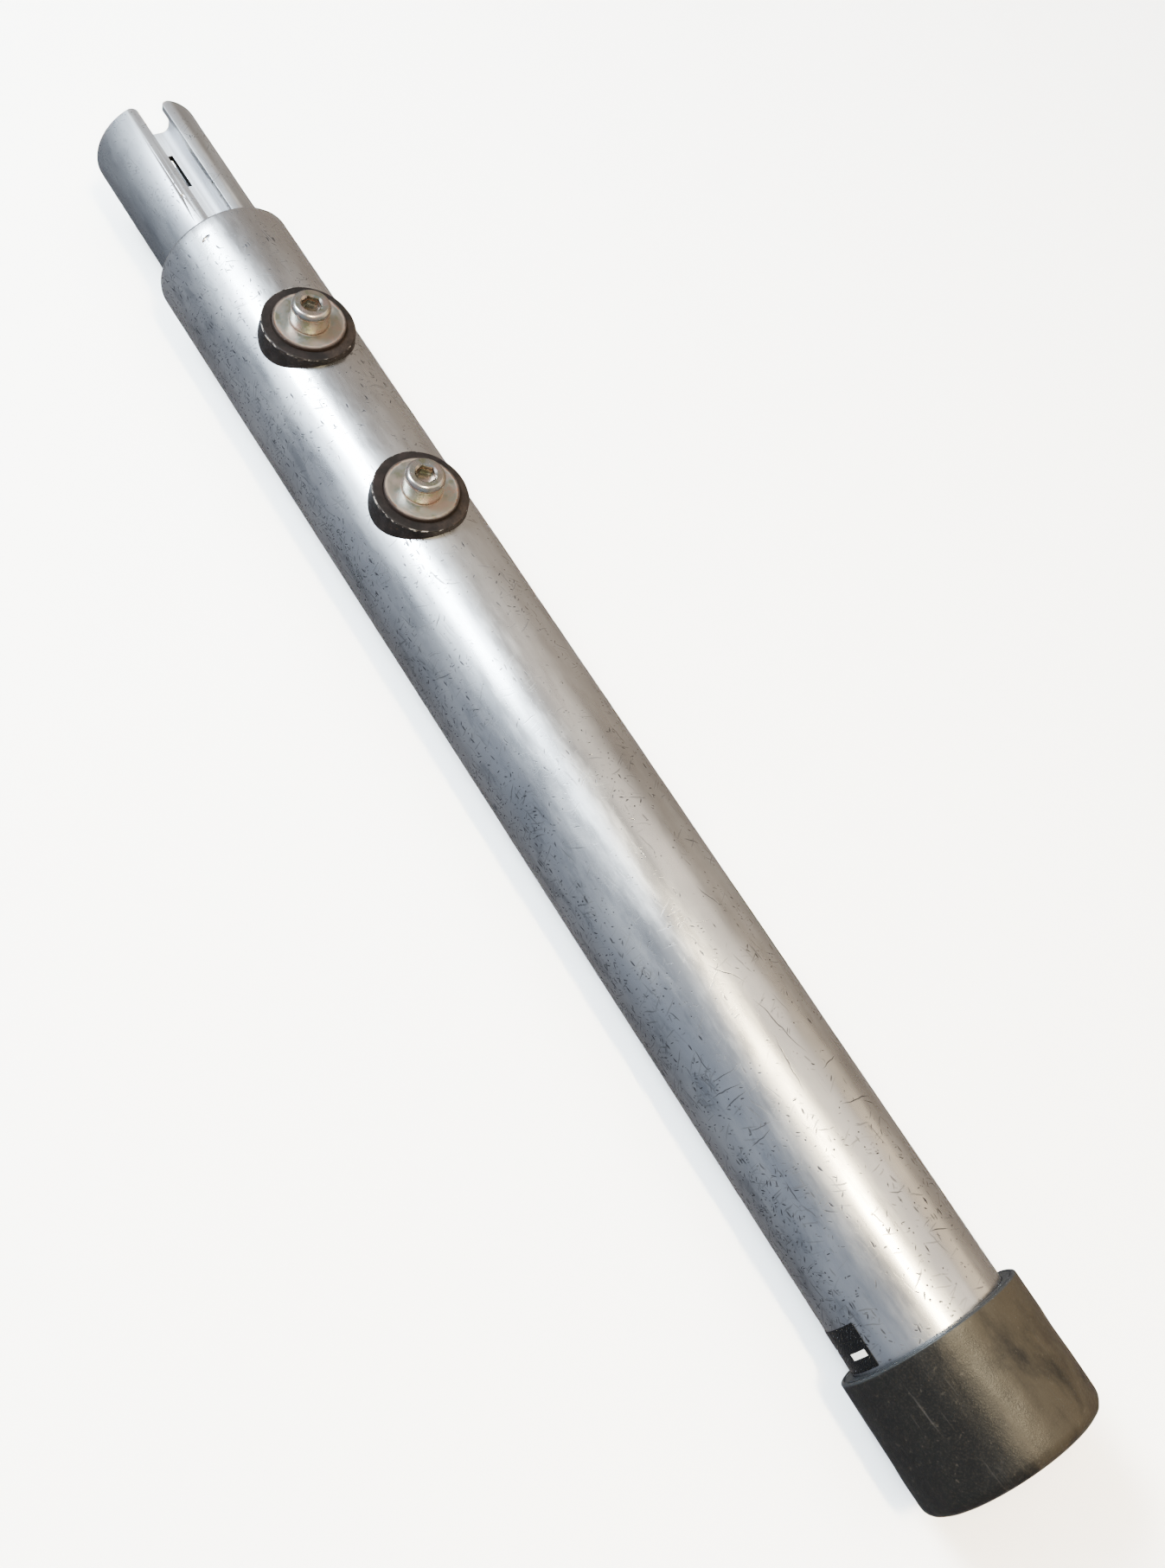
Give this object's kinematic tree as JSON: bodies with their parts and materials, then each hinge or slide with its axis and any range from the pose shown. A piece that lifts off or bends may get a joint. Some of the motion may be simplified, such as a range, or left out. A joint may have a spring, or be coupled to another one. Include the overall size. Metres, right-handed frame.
{
  "type": "ladder stabilizer arm",
  "caption": "Round aluminium ladder stabilizer arm with a slotted telescoping spigot, socket clamp screws over rubber rings, and a rubber foot.",
  "frame": {"origin": "centre of the spigot's free end, on the arm's axis", "axes": "+X along the arm from the spigot to the foot, +Z along the clamp screws towards their heads"},
  "size_m": [0.522, 0.0588, 0.0659],
  "materials": {
    "tube_alloy": "satin mill finish, worn and finely scratched",
    "profile_alloy": "satin mill finish",
    "saddle_alloy": "sawn and deburred",
    "plated_steel": "zinc plated with light rust at the edges",
    "ring_rubber": "moulded, dusty",
    "foot_rubber": "moulded, dusty and scuffed",
    "guide_nylon": "moulded",
    "label_film": "plain black sticker"
  },
  "bodies": {
    "spigot": {"inner_profile": "profile_alloy", "guide_plug": "guide_nylon", "plug_screw": "plated_steel"},
    "arm": {"outer_tube": "tube_alloy", "mouth_bush": "guide_nylon", "rubber_foot": "foot_rubber", "foot_disc": "plated_steel", "label": "label_film", "front_ring": "ring_rubber", "front_saddle": "saddle_alloy", "front_nut": "plated_steel", "rear_ring": "ring_rubber", "rear_saddle": "saddle_alloy", "rear_nut": "plated_steel"},
    "front_clamp": {"front_washer": "plated_steel"},
    "front_bolt": {"front_screw": "plated_steel"},
    "rear_clamp": {"rear_washer": "plated_steel"},
    "rear_bolt": {"rear_screw": "plated_steel"}
  },
  "joints": [
    {"name": "arm_slide", "type": "slide", "parent": "spigot", "child": "arm", "axis": [1, 0, 0], "range_m": [-0.05, 0.06]},
    {"name": "front_clamp_lift", "type": "slide", "parent": "arm", "child": "front_clamp", "axis": [0, 0, 1], "range_m": [0, 0.0019]},
    {"name": "front_screw_turn", "type": "hinge", "parent": "front_clamp", "child": "front_bolt", "pos_m": [0.1163, 0, 0.02], "axis": [0, 0, 1], "range_deg": [0, 540]},
    {"name": "rear_clamp_lift", "type": "slide", "parent": "arm", "child": "rear_clamp", "axis": [0, 0, 1], "range_m": [0, 0.0019]},
    {"name": "rear_screw_turn", "type": "hinge", "parent": "rear_clamp", "child": "rear_bolt", "pos_m": [0.1899, 0, 0.02], "axis": [0, 0, 1], "range_deg": [0, 540]}
  ],
  "couplings": [
    {"joint": "front_clamp_lift", "follows": "front_screw_turn", "m_per_rad": 0.00019894},
    {"joint": "rear_clamp_lift", "follows": "rear_screw_turn", "m_per_rad": 0.00019894}
  ]
}
